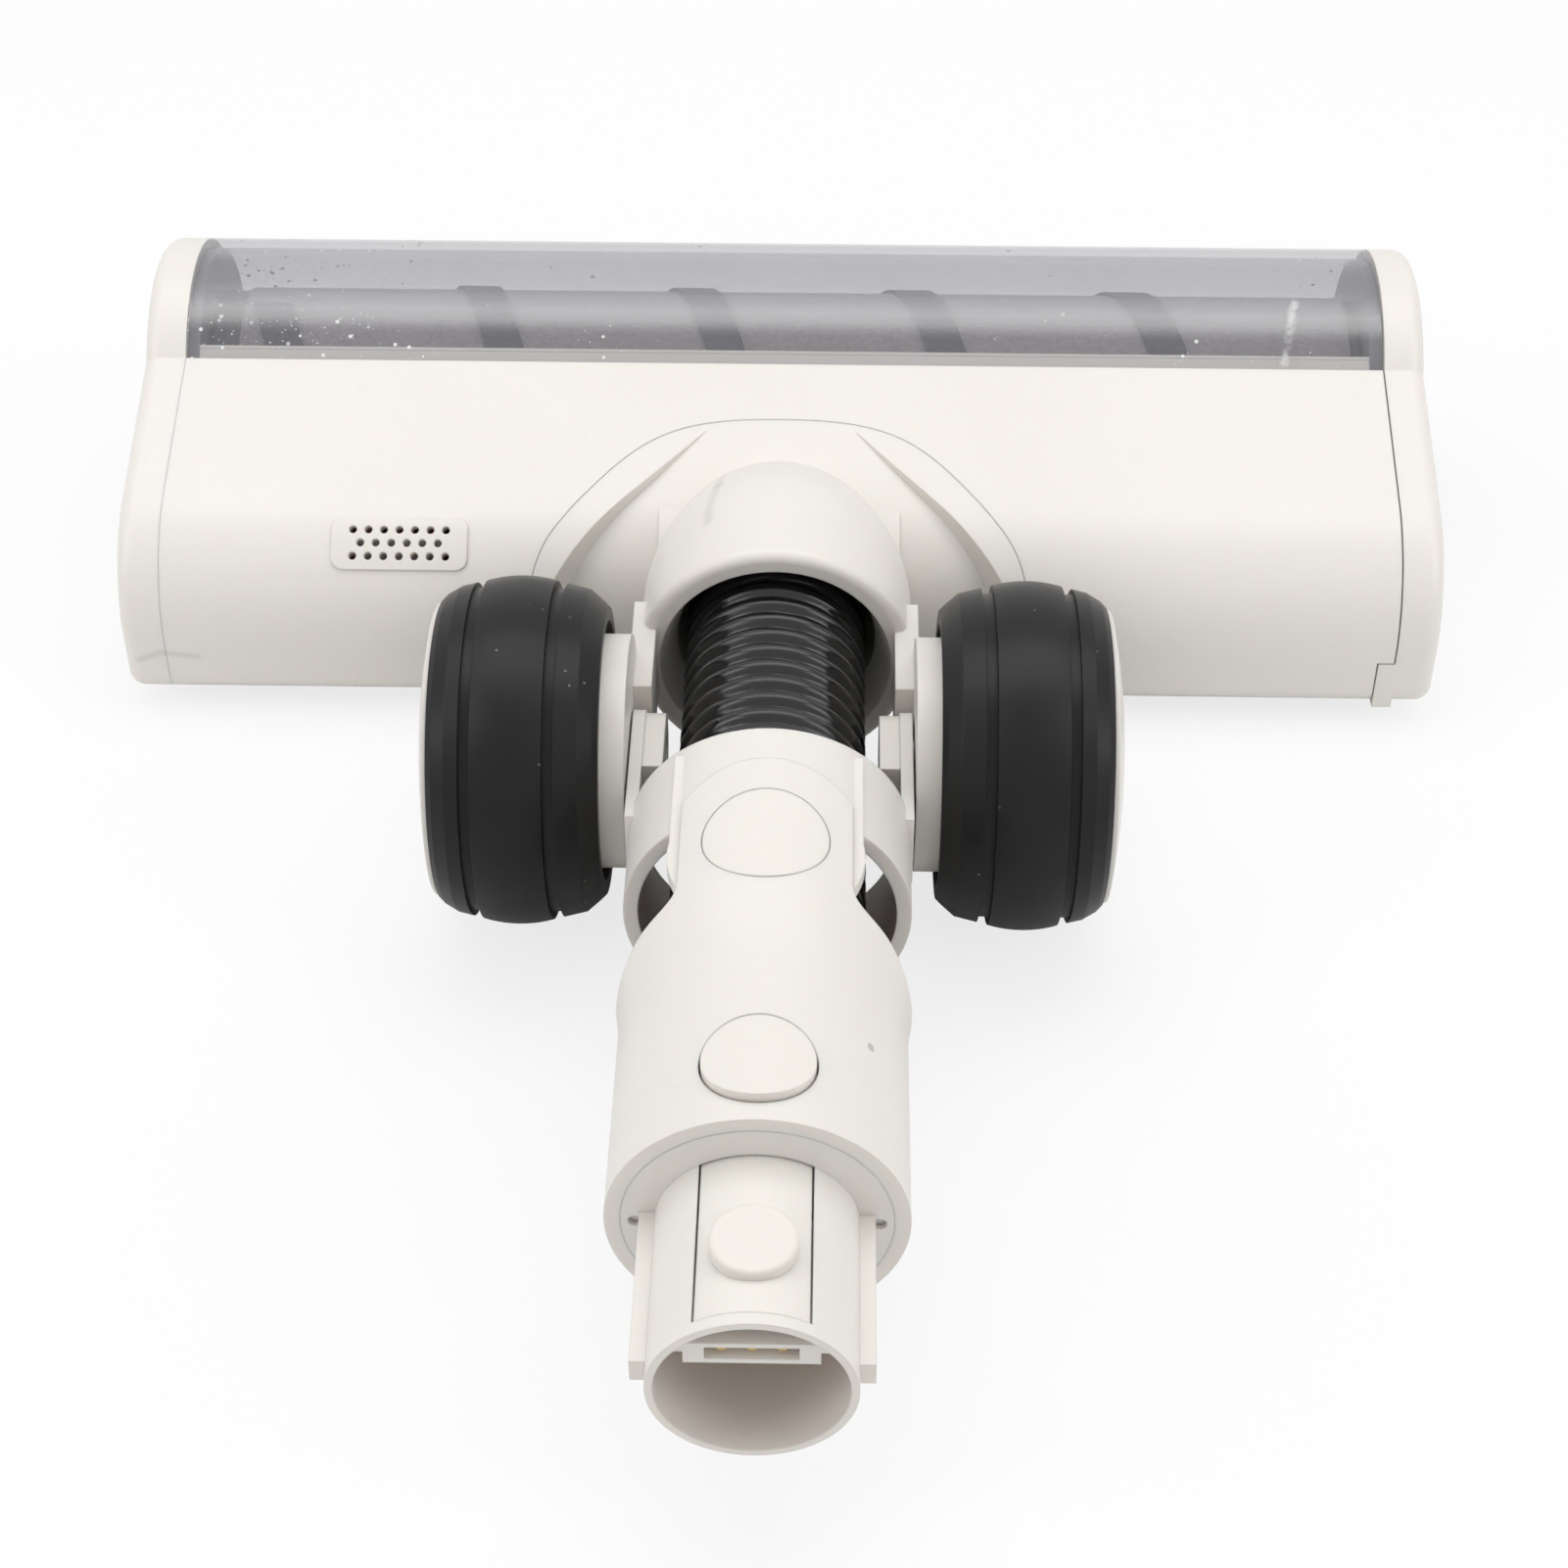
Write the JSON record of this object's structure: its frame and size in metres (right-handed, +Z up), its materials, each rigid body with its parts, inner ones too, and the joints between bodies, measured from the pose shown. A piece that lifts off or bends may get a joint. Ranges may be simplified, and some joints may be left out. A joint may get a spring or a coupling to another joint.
{
  "type": "vacuum floor head",
  "caption": "Motorised floor head for a stick vacuum: velvet roller under a clear window, large rear wheels, swivelling neck with ribbed hose and a latching tube.",
  "frame": {"origin": "middle of the bounding box in plan, on the floor under the wheels", "axes": "+X to the right as seen from behind the neck, +Y forward towards the roller, +Z up"},
  "size_m": [0.263, 0.2942, 0.064],
  "materials": {
    "shell": "cream white moulded plastic, satin sheen",
    "clear_cover": "clear moulded plastic, dusty inside",
    "dark_plastic": "dark moulded plastic",
    "core_tube": "plain grey plastic tube",
    "velvet": "short grey pile",
    "bristle": "dark slate bristle",
    "tyre": "matte black rubber",
    "hose": "glossy black flexible plastic",
    "rubber": "soft black rubber",
    "steel": "plain steel",
    "board": "green laminate",
    "contacts": "plated contacts"
  },
  "bodies": {
    "head": {"upper_housing": "shell", "base_plate": "dark_plastic", "window": "clear_cover", "left_end_cap": "shell", "neck_cowl": "shell", "motor": "steel", "control_board": "board", "drive_belt": "rubber", "drive_bearing": "steel", "axle_pin_left": "steel", "axle_pin_right": "steel", "axle_clips": "steel", "dust_strip": "rubber", "base_screws": "steel", "sole_pins": "steel", "hose_cuff_front": "dark_plastic"},
    "right_cap": {"right_end_cap": "shell", "idler_bearing": "steel"},
    "roller": {"roller_core": "core_tube", "roller_velvet": "velvet", "bristle_strip": "bristle", "drive_hub": "dark_plastic", "idler_hub": "dark_plastic", "roller_pulley": "dark_plastic"},
    "motor_drive": {"motor_pulley": "dark_plastic"},
    "wheel_left": {"wheel_hub_left": "shell", "tyre_left": "tyre", "hub_cap_left": "shell"},
    "wheel_right": {"wheel_hub_right": "shell", "tyre_right": "tyre", "hub_cap_right": "shell"},
    "sole_roller_left": {"sole_wheel_left": "dark_plastic"},
    "sole_roller_right": {"sole_wheel_right": "dark_plastic"},
    "collar": {"neck_collar": "shell", "pivot_bush_left": "shell", "pivot_bush_right": "shell", "hose": "hose"},
    "neck": {"neck_sleeve": "shell", "connector_tube": "shell", "upper_swivel_pin": "steel", "lower_swivel_pin": "steel", "upper_swivel_cap": "shell", "lower_swivel_cap": "shell", "contact_block": "shell", "contact_pins": "contacts", "hose_cuff_rear": "dark_plastic", "neck_screws": "steel", "latch_spring": "steel"},
    "latch": {"release_button": "shell", "latch_plate": "shell"}
  },
  "joints": [
    {"name": "neck_pitch", "type": "hinge", "parent": "head", "child": "collar", "pos_m": [0, -0.0044, 0.032], "axis": [-1, 0, 0], "range_deg": [0, 90], "deforming": ["hose"]},
    {"name": "neck_swivel", "type": "hinge", "parent": "collar", "child": "neck", "pos_m": [0, -0.0534, 0.032], "axis": [0, 0, 1], "range_deg": [-45, 45], "deforming": ["hose"]},
    {"name": "latch_press", "type": "slide", "parent": "neck", "child": "latch", "axis": [0, 0, -1], "range_m": [0, 0.0016], "stiffness_N_per_m": 900, "springref_m": -0.002, "deforming": ["latch_spring"]},
    {"name": "end_cap_pull", "type": "slide", "parent": "head", "child": "right_cap", "axis": [1, 0, 0], "range_m": [0, 0.03]},
    {"name": "roller_spin", "type": "hinge", "parent": "head", "child": "roller", "pos_m": [0, 0.1161, 0.0254], "axis": [1, 0, 0], "continuous": true},
    {"name": "motor_spin", "type": "hinge", "parent": "head", "child": "motor_drive", "pos_m": [0, 0.0676, 0.022], "axis": [1, 0, 0], "continuous": true},
    {"name": "wheel_left_spin", "type": "hinge", "parent": "head", "child": "wheel_left", "pos_m": [0, -0.0044, 0.032], "axis": [1, 0, 0], "continuous": true},
    {"name": "sole_roller_left_spin", "type": "hinge", "parent": "head", "child": "sole_roller_left", "pos_m": [0, 0.0836, 0.005], "axis": [1, 0, 0], "continuous": true},
    {"name": "wheel_right_spin", "type": "hinge", "parent": "head", "child": "wheel_right", "pos_m": [0, -0.0044, 0.032], "axis": [1, 0, 0], "continuous": true},
    {"name": "sole_roller_right_spin", "type": "hinge", "parent": "head", "child": "sole_roller_right", "pos_m": [0, 0.0836, 0.005], "axis": [1, 0, 0], "continuous": true}
  ],
  "couplings": [
    {"joint": "motor_spin", "follows": "roller_spin", "ratio": 2.2}
  ]
}
